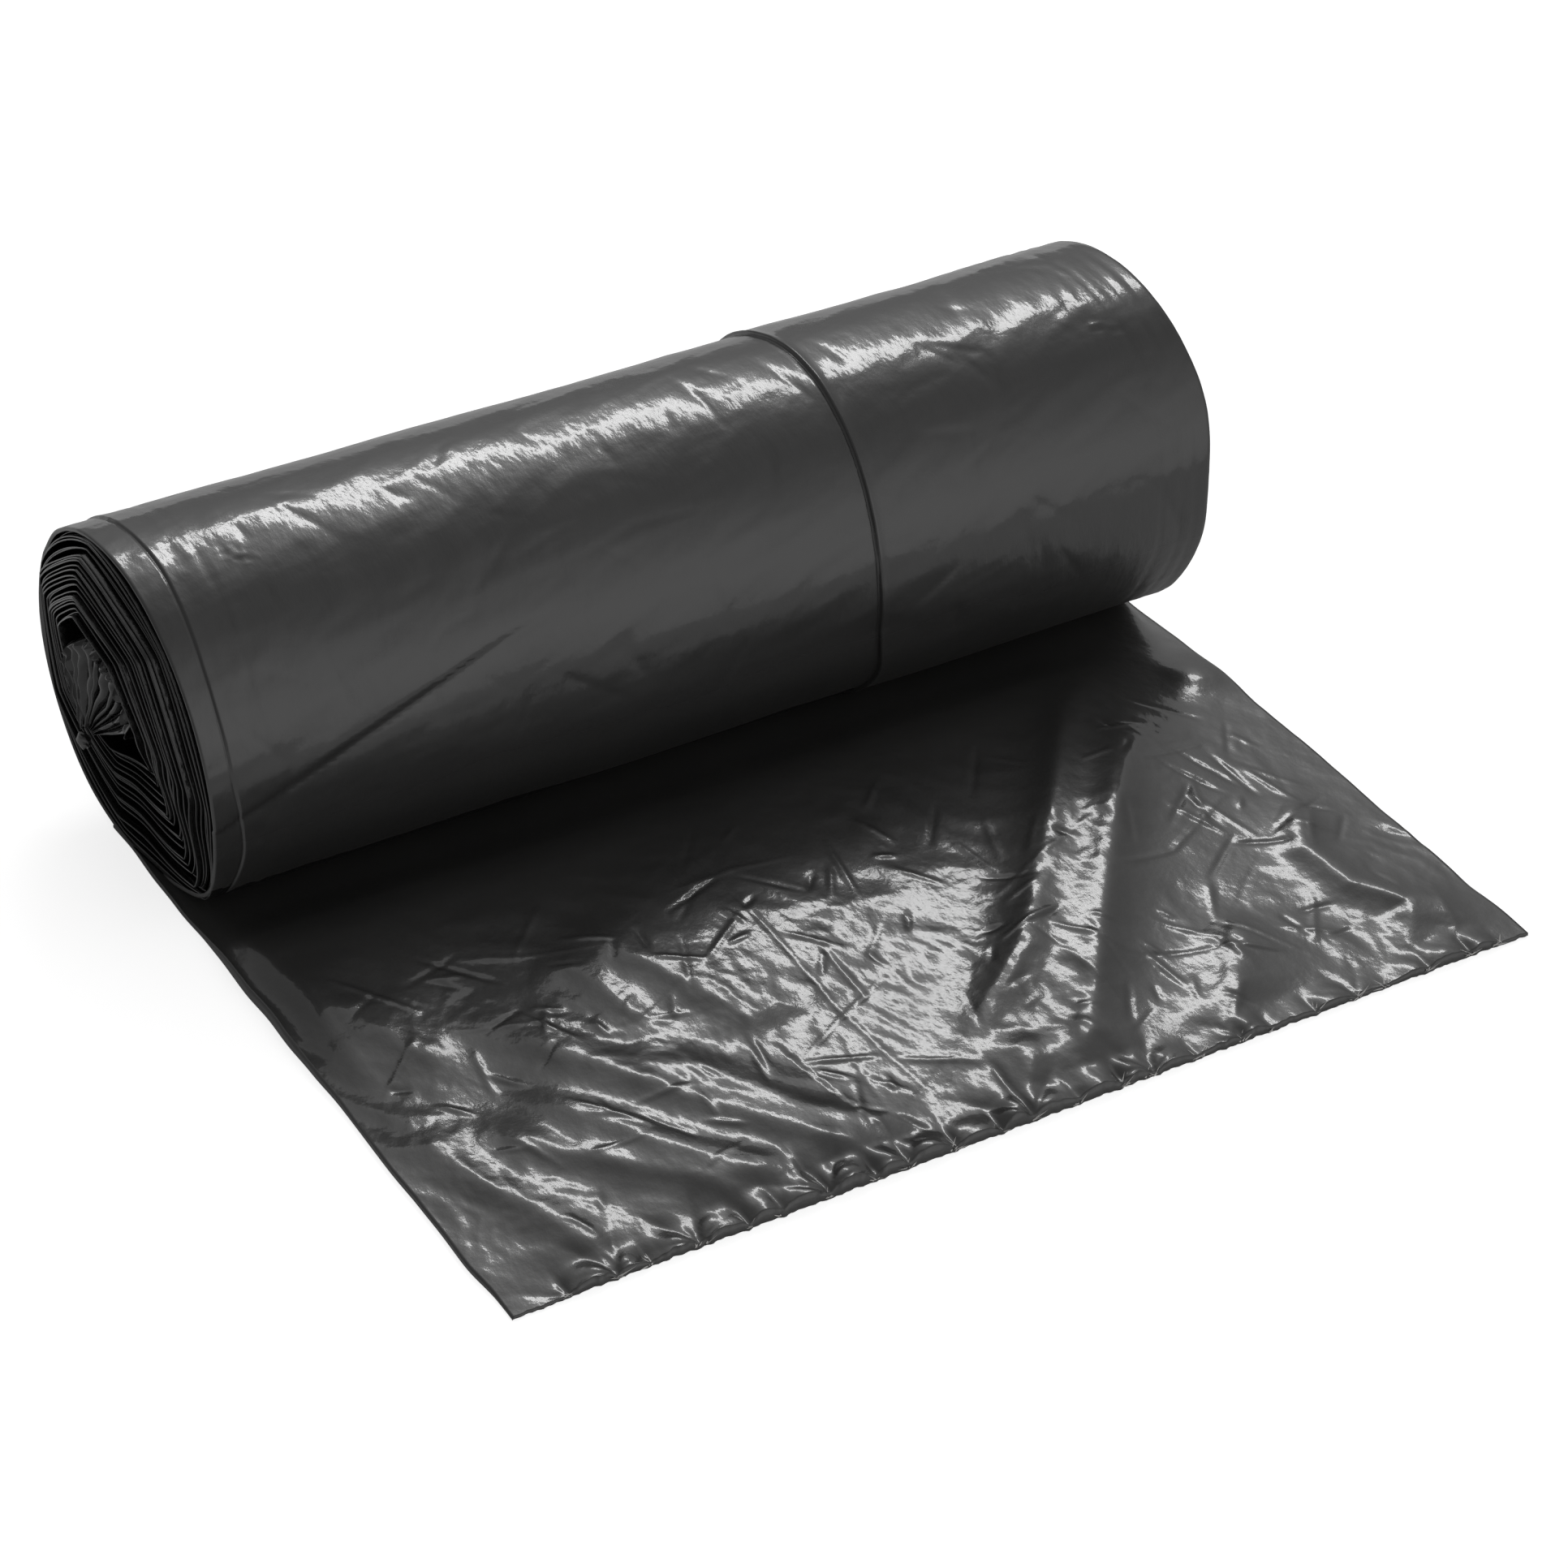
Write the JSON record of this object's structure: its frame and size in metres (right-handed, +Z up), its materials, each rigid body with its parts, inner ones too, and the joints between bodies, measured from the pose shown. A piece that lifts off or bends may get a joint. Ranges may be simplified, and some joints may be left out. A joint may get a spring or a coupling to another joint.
{
  "type": "bin bag roll",
  "caption": "Coreless roll of black bin bags lying on its side, with the first bag drawn off flat in front of it up to a torn perforated edge.",
  "frame": {"origin": "on the surface that the roll lies on, midway along the roll and straight below its centre, in the middle of its flat underside", "axes": "+X along the roll, away from the end that shows its turns; +Y behind the roll, so the loose bag lies towards -Y; +Z up"},
  "size_m": [0.309, 0.2622, 0.0979],
  "materials": {
    "film": "gloss"
  },
  "bodies": {
    "root": {"bag_web": "film"}
  },
  "joints": []
}
